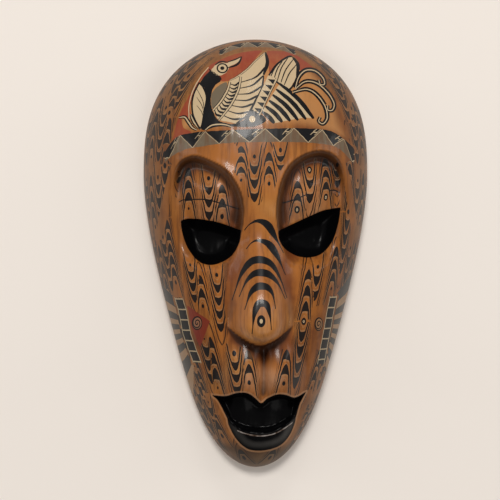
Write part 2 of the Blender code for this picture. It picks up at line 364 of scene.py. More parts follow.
loop = len(border)
first = np.concatenate([[border], [len(grid_x) + k * loop + np.arange(loop) for k in range(len(rings))]])
after = np.roll(first, -1, axis=1)
back_quads = np.stack([first[:-1], first[1:], after[1:], after[:-1]], axis=-1).reshape(-1, 4)
last_fan = np.stack([first[-1], np.full(loop, len(points) - 1), after[-1]], axis=-1)
every_corner = np.concatenate([quads.ravel(), back_quads.ravel(), last_fan.ravel()])
face_sizes = np.concatenate([np.full(len(quads) + len(back_quads), 4), np.full(loop, 3)])

mask_mesh = bpy.data.meshes.new("painted_mask")
mask_mesh.vertices.add(len(points))
mask_mesh.vertices.foreach_set("co", points.ravel())
mask_mesh.loops.add(len(every_corner))
mask_mesh.loops.foreach_set("vertex_index", every_corner.astype(np.int32))
mask_mesh.polygons.add(len(face_sizes))
mask_mesh.polygons.foreach_set("loop_start", (np.cumsum(face_sizes) - face_sizes).astype(np.int32))
mask_mesh.update(calc_edges=True)
mask_mesh.validate()
mask_mesh.shade_smooth()
mask_mesh.set_sharp_from_angle(angle=SHARP_EDGE)
mask = added("painted_mask", mask_mesh)
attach(mask, "root")
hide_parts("mask")

# Stained wood, varnish, painted shade and painted highlights
# The bare wood has a honey ground and an umber wash that sits in the hollows and under the brows, and
# the whole front is sealed with a satin varnish. Painted shade darkens the hollows, the brows, the
# underside of the nose, the sides and the chin, the steep sides carry a painted greyish sheen, and
# painted highlights lighten the lids, the upper lip and the nose tip. The back is left as cut.

CORNERS = quads.ravel()


def girth(x, y, steps=40):
    """Distance round the plain block from its mid-line to x at one height, added up over short chords."""
    total = np.zeros(np.shape(x))
    last_x = np.zeros(np.shape(x))
    last_z = dome(share_out(last_x, y), y)
    rise = (FOREHEAD_DEPTH - EDGE_LAND) / SHARE
    for step in np.sin(np.linspace(0, math.pi / 2, steps + 1)[1:]):
        here = x * step
        z = dome(share_out(here, y), y)
        total += np.hypot(here - last_x, (z - last_z) * rise)
        last_x, last_z = here, z
    return np.where(x < 0, -total, total)


def softened(field, times):
    """A field on the grid averaged with its four neighbours, that many times over."""
    for _ in range(times):
        wide = np.pad(field, 1, mode="edge")
        field = (wide[:-2, 1:-1] + wide[2:, 1:-1] + wide[1:-1, :-2] + wide[1:-1, 2:] + 2 * field) / 6
    return field


def grid_depth(*outlines):
    """The greatest depth of the grid's points inside any of some outlines, negative outside them all."""
    return np.max([depth_inside(grid_x, grid_y, np.array(line, float)) for line in outlines], axis=0)


def store(name, *fields):
    """Stores up to three fields as one vector, 0 behind the face.

    They go on the mesh's points, or on its faces' corners when there is a value for each of those.
    """
    domain, size = ("POINT", len(points)) if len(fields[0]) == len(grid_x) else ("CORNER", len(every_corner))
    values = np.zeros((size, 3), np.float32)
    for column, field in enumerate(fields):
        values[: len(field), column] = field
    mask_mesh.attributes.new(name, "FLOAT_VECTOR", domain).data.foreach_set("vector", values.ravel())


class Field:
    """A shader socket that takes part in arithmetic: each operation adds its Math node."""

    tree = None

    def __init__(self, socket):
        self.socket = socket

    @classmethod
    def wire(cls, made, **sockets):
        """Links or sets a node's sockets, which are named, or numbered as s0, s1."""
        for name, value in sockets.items():
            numbered = name[0] == "s" and name[1:].isdigit()
            socket = made.inputs[int(name[1:]) if numbered else name.replace("_", " ")]
            if isinstance(value, Field):
                cls.tree.links.new(value.socket, socket)
            else:
                socket.default_value = value
        return made

    @classmethod
    def node(cls, kind, settings=(), **sockets):
        """Adds a node, sets it and wires it."""
        made = cls.tree.nodes.new(kind)
        for setting, value in dict(settings).items():
            setattr(made, setting, value)
        return cls.wire(made, **sockets)

    def math(self, operation, *others):
        """One Math node, with this field as its first value."""
        sockets = {f"s{index + 1}": other for index, other in enumerate(others)}
        return Field(Field.node("ShaderNodeMath", {"operation": operation}, s0=self, **sockets).outputs[0])

    def __add__(self, other):
        return self.math("ADD", other)

    def __mul__(self, other):
        return self.math("MULTIPLY", other)

    def __sub__(self, other):
        return self.math("SUBTRACT", other)

    def __rsub__(self, other):
        return self.math("MULTIPLY", -1.0) + other

    def __pow__(self, other):
        return self.math("POWER", other)

    def __gt__(self, other):
        return self.math("GREATER_THAN", other)

    def __lt__(self, other):
        return self.math("LESS_THAN", other)

    def __or__(self, other):
        return self.math("MAXIMUM", other)

    def __abs__(self):
        return self.math("ABSOLUTE")

    __radd__ = __add__
    __rmul__ = __mul__

    def eased(self, low, high):
        """0 below low, 1 above high, and a smooth step between."""
        smooth = {"interpolation_type": "SMOOTHSTEP"}
        return Field(Field.node("ShaderNodeMapRange", smooth, s0=self, s1=low, s2=high).outputs[0])

    def between(self, low, high):
        """1 between low and high, 0 elsewhere."""
        return (self > low) * (self < high)

    def near(self, number):
        """1 where the value rounds to a whole number."""
        return self.between(number - 0.5, number + 0.5)


def stored(name):
    """The three numbers of an attribute of the mesh."""
    vector = Field(Field.node("ShaderNodeAttribute", {"attribute_name": name}).outputs["Vector"])
    return [Field(socket) for socket in Field.node("ShaderNodeSeparateXYZ", s0=vector).outputs]


def noise(scale, detail=2.0, stretch=(1, 1, 1)):
    """Noise in the mask's own space, scale in lumps for each metre: one number and three others."""
    place = Field(Field.node("ShaderNodeTexCoord").outputs["Object"])
    place = Field(Field.node("ShaderNodeMapping", s0=place, Scale=stretch).outputs[0])
    made = Field.node("ShaderNodeTexNoise", Vector=place, Scale=scale, Detail=detail, Roughness=0.55)
    parts = Field.node("ShaderNodeSeparateXYZ", s0=Field(made.outputs["Color"])).outputs
    return Field(made.outputs[0]), [Field(part) - 0.5 for part in parts]


def tint(red, green, blue):
    """A paint given as it looks on a screen, 0 to 255, as the shader's linear colour."""
    levels = [part / 255 for part in (red, green, blue)]
    return (*[(p / 12.92 if p <= 0.04045 else ((p + 0.055) / 1.055) ** 2.4) for p in levels], 1.0)


def coats(under, *layers):
    """Paints laid one over another: each layer is its amount, from 0 to 1, and its colour."""
    for amount, paint in layers:
        made = Field.node("ShaderNodeMix", {"data_type": "RGBA"}, s0=amount, s6=under, s7=paint)
        under = Field(made.outputs[2])
    return under


HONEY = tint(158, 96, 40)
DARK_GRAIN = tint(94, 54, 25)
AMBER = tint(104, 52, 24)
OCHRE = tint(182, 126, 64)
# Next: dark umber, for the umber wash and for painted shade; grey-brown, painted shade and greyish sheen on
# the steep sides; then the bare back's wood; then light wood for painted highlights.
UMBER_AND_SHADE = tint(42, 20, 8)
SIDE_SHADE_AND_SHEEN = tint(108, 80, 48)
RAW_WOOD = tint(186, 150, 108)
HIGHLIT_WOOD = tint(206, 158, 122)
LUMPS_PER_M = 55
BROAD_PER_M = 17
STREAKS_PER_M = 420
FIGURE_PER_M = 130
WOBBLE_PER_M = 260

grid_girth = girth(grid_x, grid_y)
height_mm = surface.reshape(CELLS_ACROSS + 1, -1) / MM
# Painted shade: how far the surface lies below its smoothed surroundings, finely and broadly, darkens the
# wood in hollows and creases.
near_hollow = np.clip((softened(height_mm, 16) - height_mm) / 1.1, -1, 1)
wide_hollow = np.clip((softened(height_mm, 90) - height_mm) / 3.2, -1, 1)
brow_inside = grid_depth([*through(LEFT_BROW), (-7, -12), (-26, -12)],
                         [*through(RIGHT_BROW), (6.9, -12), (26, -12)])
# The band under each brow ridge: umber wash and painted shade.
under_brow = ease((brow_inside + 0.15) / 0.35) * (1 - ease((brow_inside - 0.9) / 1.4))
under_brow *= ease((grid_y + 2) / 8) * (1 - ease((np.abs(grid_x) - 17.5) / 3))
nose_sides = bump(grid_x, grid_y, (-6.3, 2), (4.2, 20)) + bump(grid_x, grid_y, (5.8, 2), (4.2, 20))
# Painted shadow under the nose.
under_nose = bump(grid_x, grid_y, (1, -22.6), (8.5, 4.6))
# The steep sides, which get painted shade and a painted greyish sheen, and a rougher varnish.
turned_away = ease((grid_share - 0.78) / 0.22)
# Painted shade towards the sides and, strongest, under the chin.
shaded = np.maximum(ease((grid_share - 0.5) / 0.3), 3.2 * ease((-42 - grid_y) / 4))
store("stains_and_shade", under_brow + 0.55 * under_nose, near_hollow.ravel(), nose_sides + wide_hollow.ravel())
store("sides_front_and_shade", turned_away, np.ones(grid_x.shape), shaded)
# Painted highlights: lighter wood on the upper lip, the lids and the nose tip.
painted_highlight = bump(grid_x, grid_y, (0.4, -28.5), (8, 4.6)) + 0.7 * bump(grid_x, grid_y, (-10.6, 11), (5.5, 7))
painted_highlight += 0.7 * bump(grid_x, grid_y, (11.6, 12), (5.5, 7)) + 0.5 * bump(grid_x, grid_y, (0, -14), (4.5, 5))
store("painted_highlight", painted_highlight)

wood = bpy.data.materials.new("varnished_wood")
wood.use_nodes = True
Field.tree = wood.node_tree
shader = wood.node_tree.nodes["Principled BSDF"]
mask_mesh.materials.append(wood)

brow_wash_and_shade, hollow_wash_and_shade, amber_stain_and_hollow_shade = stored("stains_and_shade")
side, in_front, shade = stored("sides_front_and_shade")
lumps, lump_parts = noise(LUMPS_PER_M, 3)
broad, broad_parts = noise(BROAD_PER_M, 2)
streaks, _ = noise(STREAKS_PER_M, 4, (1, 0.05, 0.6))
figure, _ = noise(FIGURE_PER_M, 3, (1, 0.1, 0.5))
wobble, wobble_parts = noise(WOBBLE_PER_M, 1)
colour = coats(
    HONEY,
    ((broad_parts[1] * 2.2 + lump_parts[2]).eased(0.0, 0.7) * 0.7, OCHRE),
    (streaks.eased(0.44, 0.68) * 0.5, DARK_GRAIN),
    (figure.eased(0.5, 0.72) * 0.42, DARK_GRAIN),
    # Amber down the nose sides and in random patches, and painted shade in the broad hollows.
    ((amber_stain_and_hollow_shade * 0.4 + broad + lumps * 0.8 - 0.75).eased(0, 0.6) * 0.85, AMBER),
    # Umber wash and painted shade in the hollows.
    ((hollow_wash_and_shade + lump_parts[0] * 0.5).eased(0.05, 0.9) * 0.85, UMBER_AND_SHADE),
    # Umber wash and painted shade under the brows, and painted shadow under the nose.
    (brow_wash_and_shade.eased(0.0, 1.0) * 0.78, UMBER_AND_SHADE),
    # Painted highlights on the upper lip, the lids and the nose tip.
    (stored("painted_highlight")[0] * (0.4 + lump_parts[2]), HIGHLIT_WOOD),
    # Painted shade at the sides and under the chin.
    (shade * (0.3 + lump_parts[0] * 0.4), UMBER_AND_SHADE),
    # Painted shade and greyish sheen on the steep sides.
    (side.eased(0.1, 1.0) * (0.45 + lump_parts[1] * 0.9), SIDE_SHADE_AND_SHEEN),
)

# The painted flames
# Nested pointed hairpins in black ink round a dot, in columns that point up and down by turns. Each is
# put down with a brush that is thick at the point and thin down the long tails, with a pale edge.

FLAME_PITCH = 3.5
FLAME_WIDTH = 1.4
FLAME_POINT = 0.2
FIRST_GAP = 0.35
COLUMN_SPACING = 3.2
FRONT_EDGE, BACK_EDGE = 25.2, 41
LOWEST, HIGHEST = -46, 46
SIDE_DOT = 0.35
BIG_DOT = 0.55
POINT_INK = 0.64
LEG_START, LEG_GROWTH = 0.08, 0.42
INK = tint(7, 7, 10)
THIN_INK = tint(34, 20, 14)
PALE_EDGE = tint(160, 132, 98)
CREAM = tint(186, 164, 130)
FLAMES = [
    (-4.4, 16.5, 3, 2.3, 0.3), (-1.4, 21.8, -3, 3.1, 0.35), (1.9, 15.7, 2, 3, 0.35), (4.5, 23.3, -2, 2, 0.4),
    (-16, 10.2, 3, 2.8, 0.25), (-11.6, 17, -3, 2.85, 0.4), (-18.4, 18.6, -1, 2, 0.2),
    (-8.5, 8.4, 2, 3.05, 0.45), (11.3, 19, -2, 3.3, 0.6), (15.2, 12.8, 3, 2.7, 0.6),
    (8.5, 9.9, 2, 2.8, 0.65), (17.9, 20.2, -2, 2.2, 0.4), (-18.9, -6.7, 5, 2.7, 0.4),
    (-15.7, -2.6, -3, 2.6, 0.3), (-12.8, -12, 2, 3.05, 0.35), (-9.8, -4.9, -4, 3, 0.4),
    (-12.4, -19.6, -3, 3.1, 0.2), (-9.3, -30.7, 3, 3.5, 0.25), (-5.8, -22.7, -3, 2.85, 0.5),
    (-2.4, -29.3, 2, 3.2, 0.4), (5.5, -29.5, 2, 3.3, 0.4), (10.1, -15.5, 3, 3.55, 0.65),
    (10.1, -15.5, -4, 3.55, 0.65), (13.3, -3, -2, 3.4, 0.35), (16.6, -8.1, 3, 2.9, 0.3),
    (20.6, 9.5, 4, 3.3, 0.45), (20.6, 9.5, -4, 3.3, 0.45), (12.4, -31, 3, 3.1, 0.3),
    (14.6, -27.6, 2, 2.8, 0.25), (-14.5, -26, -3, 3, 0.2), (-12.2, -33, 3, 2.6, 0.25),
    (-8.1, -42.2, 2, 2.8, 0.45), (-11.4, -34.2, -2, 2.6, 0.2), (10.9, -39, 2, 3, 0.25),
    (12.6, -34.5, -2, 2.6, 0.2), (-3, -47.4, 1, 1.6, 0.45), (3, -47.4, 1, 1.6, 0.4),
    (-21.4, 20, 3, 3.3, 0.5), (-21.4, 20, -3, 3.2, 0.5), (-20.4, 32.2, 3, 2.5, 0.4),
    (-15.9, 40.8, -3, 2.4, 0.35), (17.8, 39.4, -3, 2.6, 0.35), (21.7, 33.5, -3, 2.6, 0.3),
]
QUIET = [
    [(-22, 24.8), (-20, 20.6), (-17, 22.2), (-14.4, 22.7), (-11, 21.5), (-7.6, 19.4), (-6.2, 18.6),
     (-6.4, 25)],
    [(6.4, 25), (5.4, 20), (6.6, 20.6), (9.6, 22.9), (13, 23.9), (16.2, 23.5), (19.6, 20.6), (22, 24.8)],
    [(-2.6, 12.8), (-0.6, 10.6), (1.8, 12.8), (4.4, 5), (6.4, -3), (7.6, -12), (7, -20), (1, -22.6),
     (-5.6, -20), (-7.9, -12), (-6.8, -3), (-4.2, 5)],
    [(11.9, -12.3), (15.6, -12.6), (15.4, -21.4), (12.4, -20.6)],
]


def half_girth(y):
    """The block's whole girth from mid-line to rim at each height, read from a short table of rows."""
    rows = np.linspace(CHIN * 0.995, CROWN * 0.995, 120)
    return np.interp(y, rows, girth(half_width(rows) * 0.9999, rows))


def side_columns(side, seed):
    """Columns that follow the outline, from the front's edge to the rim, every other one turned over."""
    draw = np.random.default_rng(seed)
    made = []
    for column, out in enumerate(np.arange(FRONT_EDGE, BACK_EDGE, COLUMN_SPACING)):
        way = 1 if column % 2 else -1
        y = LOWEST + 4.0 * (column % 2)
        while y < HIGHEST:
            levels = int(draw.integers(3, 5))
            pitch = FLAME_PITCH * (0.8 + 0.25 * draw.random())
            start = y if way > 0 else y + (levels + 0.4) * pitch
            made.append((side * out, start, way * levels, pitch, SIDE_DOT))
            y += (levels + 1.5) * pitch
    return made


def lay_flames(meridian, y, way, levels, pitch, dot):
    """Gives every face to its nearest flame, and stores where its corners are in that flame's own frame.

    The distance to a flame grows with the way round the block, and past both ends of its spine, which
    runs from a little behind its dot to its last point.
    """
    reach_round = half_girth(grid_y)
    across = grid_girth[None, :] - meridian[:, None] * reach_round[None, :]
    climb = (grid_y[None, :] - y[:, None]) * (way / pitch)[:, None]
    beyond = np.maximum(climb - levels[:, None] - FIRST_GAP, -0.9 - climb)
    away = 1.25 * np.abs(across) + beyond
    two = np.partition(away, 1, axis=0)
    nearest = np.argmin(away, axis=0)
    owner = np.repeat(nearest[quads[:, 0]], 4)
    other = np.where(nearest[CORNERS] == owner, two[1][CORNERS], two[0][CORNERS])
    margin = 0.4 * (other - away[owner, CORNERS])
    store("flame_place", across[owner, CORNERS], climb[owner, CORNERS], margin)
    store("flame_kind", levels[owner], pitch[owner], dot[owner])


def closed_depth(*outlines):
    """The same depth for outlines rounded to smooth curves."""
    return grid_depth(*[through([*line, line[0]]) for line in outlines])


front = np.array(FLAMES, float).T
sides = np.array(side_columns(-1, 5) + side_columns(1, 6), float).T
meridians = np.concatenate([girth(front[0], front[1]) / half_girth(front[1]), sides[0] / half_girth(0.0)])
flame_y, flame_levels, flame_pitch, flame_dot = np.hstack([front[1:], sides[1:]])
lay_flames(meridians, flame_y, np.sign(flame_levels), np.abs(flame_levels), flame_pitch, flame_dot)
by_the_brow = np.where(grid_y > 3, 0.8 - np.abs(brow_inside - 0.1), -9)
store("quiet", np.maximum(closed_depth(*QUIET), by_the_brow))

across, climb, margin = stored("flame_place")
levels, pitch, dot_radius = stored("flame_kind")
quiet = stored("quiet")[0]
across = across + wobble_parts[0] * 0.25
climb = climb + wobble_parts[1] * 0.16
curve = abs(across) * FLAME_POINT + (abs(across) * (1 / FLAME_WIDTH)) ** 2.5
bell = climb - FIRST_GAP + curve
level = bell.math("CEIL")
into = level - bell
leg = (abs(across) * LEG_GROWTH + LEG_START) * (1 - curve.eased(1.1, 2.4) * 0.7)
thickness = (leg | (POINT_INK - curve * 0.8 + lump_parts[1] * 0.24)) + shade.math("MINIMUM", 1.0) * 0.14
allowed = (climb > -2.6) * (margin > 0.03) * (quiet < -0.1) * (1 - brow_wash_and_shade.eased(0.3, 0.5)) * in_front
drawn = (level > 0.5) * (level < levels + 0.5) * allowed
flame_ink = (into < thickness) * drawn
pale_edge = ((into < thickness + 0.12) | (into > 0.92)) * drawn
outer_line = (into < leg * 0.9) * (level < levels + 2.5) * (level > 0.5) * allowed
from_dot = (across * across + climb * climb * pitch * pitch * 0.6).math("SQRT")
dot_ink = (from_dot < dot_radius) * (quiet < 0.2) * in_front
dot_hole = from_dot.between(0.1, 0.26) * (dot_radius > BIG_DOT) * (quiet < 0.2) * in_front

# The bird over the forehead
# A long-tailed bird in cream and black on a red ground, a common figure on these masks, drawn with its
# wing and tail spread: flat fills first, then every line of the brush.

RED = tint(136, 54, 34)
GREY = tint(104, 92, 74)
TAN = tint(196, 142, 88)
PANEL = [(-20.2, 24.3), (-19.4, 28), (-18.2, 31.6), (-16.6, 35.2), (-14.7, 38.5), (-11.2, 43), (-7.8, 45.4),
         (-4.3, 46.5), (0, 47), (4, 46.9), (7.6, 45.9), (11.8, 43.3), (15.1, 39.2), (17.6, 35.1), (19.2, 30),
         (20, 26), (8.9, 28.3), (-7, 27.8), (-18.2, 26.7)]
RED_GROUND = [(-19.8, 25.6), (-18.4, 30.9), (-16.2, 35.5), (-13.3, 40), (-11.1, 43.1), (-6.7, 45.3),
              (-3.5, 46.2), (0.8, 46.7), (0.2, 45.6), (-1.6, 43.3), (-3.5, 41.2), (-5.3, 40), (-6.9, 39.2),
              (-8.6, 39.1), (-10.8, 40), (-12.8, 39.8), (-14.6, 37.2), (-15.6, 33.8), (-15.6, 31.4),
              (-16.4, 30.4), (-17.6, 31), (-17.2, 28.6), (-15.4, 27.2)]
ORANGE_GROUND = [(2, 46.6), (5.2, 46.6), (8, 46.2), (12.6, 42.9), (11.2, 42.2), (9.6, 41.6), (9, 44.6),
                 (7.2, 45.4), (4, 43), (2.4, 41)]
BODY = [(-13.4, 39), (-12.4, 40.4), (-11, 41.7), (-9.6, 41), (-8.7, 39.4), (-10, 38.3), (-10.8, 36.6),
        (-11.1, 34.4), (-10.7, 32.4), (-9.3, 30), (-6.2, 29.2), (-3.6, 30.2), (-2.4, 32), (-1.4, 32.4),
        (1.4, 30.3), (-0.6, 28.8), (-3.8, 28.5), (-9, 28.7), (-12.8, 27.9), (-13.1, 29.2), (-12.4, 32.5),
        (-11.9, 35.5), (-12.4, 37.6)]
HEAD = [(-11, 41.6), (-9.9, 43.2), (-8.2, 43.7), (-6.9, 43.4), (-6.7, 42.4), (-7.4, 41.2), (-8.7, 40.5),
        (-9.8, 40.7)]
BEAK = [(-7.3, 43.6), (-5.4, 44.2), (-3.9, 45), (-4.4, 44), (-5.4, 43.2), (-6.8, 42.6)]
BREAST = [(-13.6, 39), (-14.9, 36.2), (-15.3, 33.6), (-14.9, 30.9), (-13.4, 28.4), (-12.5, 32.4),
          (-12, 35.4), (-12.6, 37.6)]
SHOULDER = [(-8.9, 38.4), (-7.4, 38.9), (-7.6, 37.2), (-8.9, 34.8), (-10.6, 32.9), (-11, 34.7),
            (-10.6, 36.7)]
FIRST_SHAFT = [(-6.7, 39), (-7.3, 37), (-8.7, 34.6), (-10.6, 32.4)]
SECOND_SHAFT = [(-4.2, 40.2), (-4.8, 37.2), (-6.6, 33.6), (-9.3, 30.1)]
WING_EDGE = [(1.7, 46.2), (2, 43.6), (1, 40.6), (0.5, 37.4), (-0.9, 34.6), (-2.8, 31.4), (-5.4, 29.3)]
WING_TOP = [(-6.7, 39.3), (-4.9, 40.3), (-2.6, 42.1), (-0.8, 44), (1.7, 46.2)]
FAN = [(2.2, 40.5), (4, 43), (6.6, 45), (8, 45.1), (9.1, 43.2), (8.7, 40.2), (6.7, 37.2), (4.2, 38.8)]
TAIL_ROOT = ((4.6, 38.6), (0.4, 32))
TAIL_TIPS = ((12.3, 30.6), (3.2, 29.4))
TAIL = [TAIL_ROOT[0], (8.6, 34.6), TAIL_TIPS[0], (10.4, 30.8), (8, 30.4), (5.4, 29.9), TAIL_TIPS[1],
        TAIL_ROOT[1]]
STRIP = ((2.9, 40), (-0.9, 32))
STRIP_WIDTH = 2.0
STROKE_REACH = 1.6
NEAR = 2
PLUMES = [
    [(8.2, 37.6), (9.2, 40.4), (11, 42), (13.2, 41.9), (14.9, 40.4), (15.2, 38.9), (14.2, 38.7),
     (13.9, 39.8)],
    [(8.2, 37.4), (10.6, 39.2), (13.4, 38.9), (16, 36.7), (17.3, 34.3), (16.9, 32.8), (15.8, 32.7),
     (15.7, 33.8)],
    [(7.6, 36.6), (10.8, 37.4), (13.2, 36.2), (15.1, 33.5), (15.5, 30.9), (14.5, 29.5), (13.5, 30),
     (13.8, 31)],
]
CURLS = [[(-18.3, 30.9), (-17, 31), (-16.2, 30), (-15.3, 28.6), (-14.2, 27.9)],
         [(-15.6, 31.6), (-15, 30), (-14.2, 28.8), (-13.4, 28.1)],
         [(-12.4, 27.9), (-10.8, 29), (-8.2, 29.1), (-6.4, 28.5)]]
SPIRAL, BIRD_EYE, DISC, OVAL = 1, 2, 3, 4
MARKS = [(-14.1, -15.9, 1.15, 1.6, SPIRAL), (13.7, -16.2, 1.05, 1.6, SPIRAL),
         (-8.3, 42.3, 1.3, 1.25, BIRD_EYE), (-1.8, 30.3, 0.7, 0.75, DISC), (-0.2, -15.1, 0.95, 1.35, OVAL)]


def along_line(points, shares):
    """Points at the given shares of a curve's length."""
    line = through(points)
    steps = np.hypot(*np.diff(line, axis=0).T)
    reach = np.concatenate([[0], np.cumsum(steps)]) / steps.sum()
    return np.stack([np.interp(shares, reach, line[:, 0]), np.interp(shares, reach, line[:, 1])], axis=-1)


def bowed(start, end, bow):
    """Three points of a stroke from start to end, its middle pushed sideways by a share of its length."""
    start, end = np.array(start), np.array(end)
    middle = (start + end) / 2 + bow * np.array([start[1] - end[1], end[0] - start[0]])
    return [tuple(start), tuple(middle), tuple(end)]


def stroke(line, widest, ends, core=0, gather=1, skew=1):
    """A brush stroke: half width at its widest and at its ends, and the share of it that is cream.

    The width gathers to the middle with a higher gather, and moves to the stroke's end with a higher skew.
    """
    return line, widest, ends, core, gather, skew


def combed(starts, ends, bow, *widths, **form):
    """One stroke from each start to its end, all bowed alike."""
    return [stroke(bowed(start, end, bow), *widths, **form) for start, end in zip(starts, ends)]


def lay_strokes(name, strokes):
    """Gives every face to its nearest stroke segment, and stores its corners' place beside that segment.

    Stored: distance across, distance to the nearer end, half width there, and the cream share.
    """
    faces_x = grid_x[quads].mean(axis=1)
    faces_y = grid_y[quads].mean(axis=1)
    nearest = np.full(len(quads), STROKE_REACH)
    held = np.zeros((len(quads), 12))
    for line, widest, ends, core, gather, skew in strokes:
        line = through(line)
        (left, low), (right, high) = line.min(axis=0) - NEAR, line.max(axis=0) + NEAR
        near = np.flatnonzero((faces_x > left) & (faces_x < right) & (faces_y > low) & (faces_y < high))
        steps = np.hypot(*np.diff(line, axis=0).T)
        starts = np.concatenate([[0], np.cumsum(steps)])
        for (ax, ay), (bx, by), length, start in zip(line[:-1], line[1:], steps, starts):
            ux, uy = (bx - ax) / length, (by - ay) / length
            t = np.clip((faces_x[near] - ax) * ux + (faces_y[near] - ay) * uy, 0, length)
            away = np.hypot(faces_x[near] - ax - t * ux, faces_y[near] - ay - t * uy) - 0.5 * widest
            closer = away < nearest[near]
            nearest[near[closer]] = away[closer]
            held[near[closer]] = (ax, ay, ux, uy, start, starts[-1], widest, ends, core, gather, skew, 1)
    ax, ay, ux, uy, start, total, widest, ends, core, gather, skew, used = np.repeat(held, 4, axis=0).T
    dx, dy = grid_x[CORNERS] - ax, grid_y[CORNERS] - ay
    travel = start + dx * ux + dy * uy
    share = np.clip(travel / np.clip(total, 1e-6, None), 0, 1) ** np.clip(skew, 0.1, None)
    swell = 1 - ((share - 0.5) / 0.5) ** 2
    half = (ends + (widest - ends) * swell**gather) * used
    store(name, ux * dy - uy * dx, np.minimum(travel, total - travel), half)
    store(name + "_core", core)


def stroke_masks(name):
    """The ink of a stroke layer and the cream down the middle of its strokes."""
    off, end, half = stored(name)
    core = stored(name + "_core")[0]
    off = abs(off + wobble_parts[2] * 0.1)
    inked = (off < half) * (end > 0)
    return inked, inked * (off < half * core)


feather_shares = np.linspace(0, 1, 9)[1:-1]
tail_shares = np.linspace(0, 1, 6)[:, None]
tail_roots, tail_tips = (np.array(here) * (1 - tail_shares) + np.array(there) * tail_shares
                         for here, there in (TAIL_ROOT, TAIL_TIPS))
fine_strokes = [
    *combed(along_line(SECOND_SHAFT, feather_shares), along_line(WING_EDGE, feather_shares**0.85),
            -0.12, 0.24, 0.1, skew=2.2),
    *combed(along_line(FIRST_SHAFT, np.linspace(0.06, 0.94, 10)),
            along_line(SECOND_SHAFT, np.linspace(0.1, 0.9, 10)), -0.25, 0.26, 0.08, skew=2),
    *combed(along_line([FAN[0], FAN[7], FAN[6]], np.linspace(0.1, 0.75, 5)),
            along_line(FAN[1:5], np.linspace(0.12, 0.95, 5)), 0.06, 0.14, 0.08),
    *combed(tail_roots, tail_tips, 0.05, 0.52, 0.2, gather=0.6, skew=1.2),
    *[stroke(plume, 0.62, 0.42, 0.2) for plume in PLUMES],
    *[stroke(curl, 0.5, 0.2, 0.3) for curl in CURLS],
    *combed([(-14.2, 37.6 - 2 * k) for k in range(3)], [(-12.7, 30.6 - 0.3 * k) for k in range(3)],
            0.1, 0.08, 0.04),
    *combed([(-11.3 + 0.55 * k, 42.2 - 0.42 * k) for k in range(5)],
            [(-10.6 + 0.5 * k, 41.2 - 0.42 * k) for k in range(5)], 0, 0.16, 0.08),
]
bold_strokes = [stroke(FIRST_SHAFT, 0.36, 0.3, 0.5), stroke(SECOND_SHAFT, 0.34, 0.26, 0.5),
                stroke(WING_EDGE[:3], 0.42, 0.2), stroke(WING_EDGE[2:], 0.3, 0.14),
                stroke(WING_TOP, 0.22, 0.16, 0.5), stroke([*FAN, FAN[0]], 0.24, 0.2),
                stroke(FAN[3:6], 0.42, 0.2), stroke([*BREAST, BREAST[0]], 0.2, 0.2),
                stroke([(-7.3, 43.7), (-5.5, 44.3), (-3.8, 45.1)], 0.16, 0.1),
                stroke([(-7, 42.4), (-5.4, 42.9), (-4.4, 43.7), (-3.8, 45.1)], 0.26, 0.1),
                stroke([(-9.9, 43.1), (-8.6, 43.9), (-7, 43.7)], 0.2, 0.1),
                stroke([(4, 39.8), (1.8, 35.6), (-0.2, 31.2)], 0.36, 0.3, 0.5),
                stroke([(-16, 30.6), (-15.9, 34), (-14.9, 37.4), (-13.2, 40.4), (-11.4, 42.6)],
                       0.12, 0.1, 1)]
NOSE_ARCHES = [
    [(-3.6, 5.2), (-2.4, 6.6), (-0.5, 7.3), (1.6, 6.4), (3.4, 3.6), (5.3, 0.1)],
    [(-3.2, 1), (-2, 2.4), (-0.4, 2.9), (1.9, 2), (3.9, -0.8), (5.7, -4.9)],
    [(-6.4, -10.6), (-4.6, -5.2), (-2.6, -2.2), (-0.4, -1.4), (2.2, -2.3), (4.3, -5.4), (6, -10.1)],
    [(-4.9, -9.8), (-3.5, -6.6), (-1.8, -4.7), (0, -4.3), (2, -4.9), (3.9, -6.9), (5.6, -10.3)],
    [(-3.8, -12.6), (-2.6, -9.1), (-1.2, -7.6), (0, -7.3), (1.4, -7.7), (2.5, -9.2), (3.1, -12.4)],
    [(-2.2, -18), (-1.8, -14), (-1, -11.6), (0, -11.1), (1.1, -11.6), (1.8, -14), (2.1, -17.1)],
]
bold_strokes += [stroke(arch, 0.84, 0.1, gather=4) for arch in NOSE_ARCHES]
bold_strokes += [stroke(lid, 0.14, 0.1) for lid in LID_LINES]
lay_strokes("fine_strokes", fine_strokes)
lay_strokes("bold_strokes", bold_strokes)
store("bird_grounds", closed_depth(RED_GROUND, ORANGE_GROUND), closed_depth(PANEL), closed_depth(SHOULDER))
wing = [*WING_TOP, *WING_EDGE[1:], SECOND_SHAFT[-1], *FIRST_SHAFT[:0:-1]]
store("bird_fills", closed_depth(BODY), grid_depth(wing, FAN, HEAD, BEAK, BREAST, TAIL))
mark_x, mark_y, mark_wide, mark_tall, mark_kind = np.array(MARKS, float).T
mark = np.argmin(np.hypot(grid_x[:, None] - mark_x, grid_y[:, None] - mark_y), axis=1)
store("mark", (grid_x - mark_x[mark]) / mark_wide[mark], (grid_y - mark_y[mark]) / mark_tall[mark],
      mark_kind[mark])

